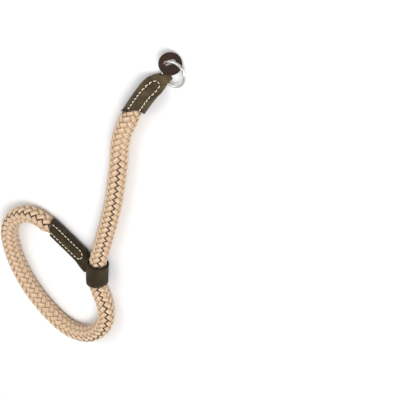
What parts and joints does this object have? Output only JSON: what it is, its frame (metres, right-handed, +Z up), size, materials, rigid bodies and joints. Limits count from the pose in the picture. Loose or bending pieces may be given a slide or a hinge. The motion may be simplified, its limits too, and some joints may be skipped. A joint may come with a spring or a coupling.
{
  "type": "camera hand grip strap",
  "caption": "Braided cotton wrist strap with stitched leather ends, a sliding leather keeper, a split ring and a leather ring guard.",
  "frame": {"origin": "on the floor, at the middle of the keeper band's flat underside", "axes": "+Z up with the strap lying flat, the ring end towards -Y and the loop towards +Y"},
  "size_m": [0.1025, 0.2249, 0.014],
  "materials": {
    "cotton": "soft braided cotton, beige",
    "leather": "olive-brown leather, low sheen",
    "thread": "ivory waxed sewing thread",
    "nickel": "bright nickel plating",
    "dark_leather": "dark brown leather"
  },
  "bodies": {
    "strap": {"braided_cord": "cotton", "ring_end_leather": "leather", "ring_end_needle_thread": "thread", "ring_end_bobbin_thread": "thread", "loop_end_leather": "leather", "loop_end_needle_thread": "thread", "loop_end_bobbin_thread": "thread"},
    "ring": {"split_ring": "nickel"},
    "guard": {"ring_guard": "dark_leather"}
  },
  "joints": [
    {"name": "ring_swing", "type": "hinge", "parent": "strap", "child": "ring", "pos_m": [0.05446, -0.14091, 0.00254], "axis": [-0.9645, 0.264, 0], "range_deg": [-100, 75]},
    {"name": "guard_slide", "type": "hinge", "parent": "ring", "child": "guard", "pos_m": [0.05265, -0.14754, 0.00336], "axis": [0.0312, 0.1138, 0.993], "range_deg": [-145, 8]}
  ]
}
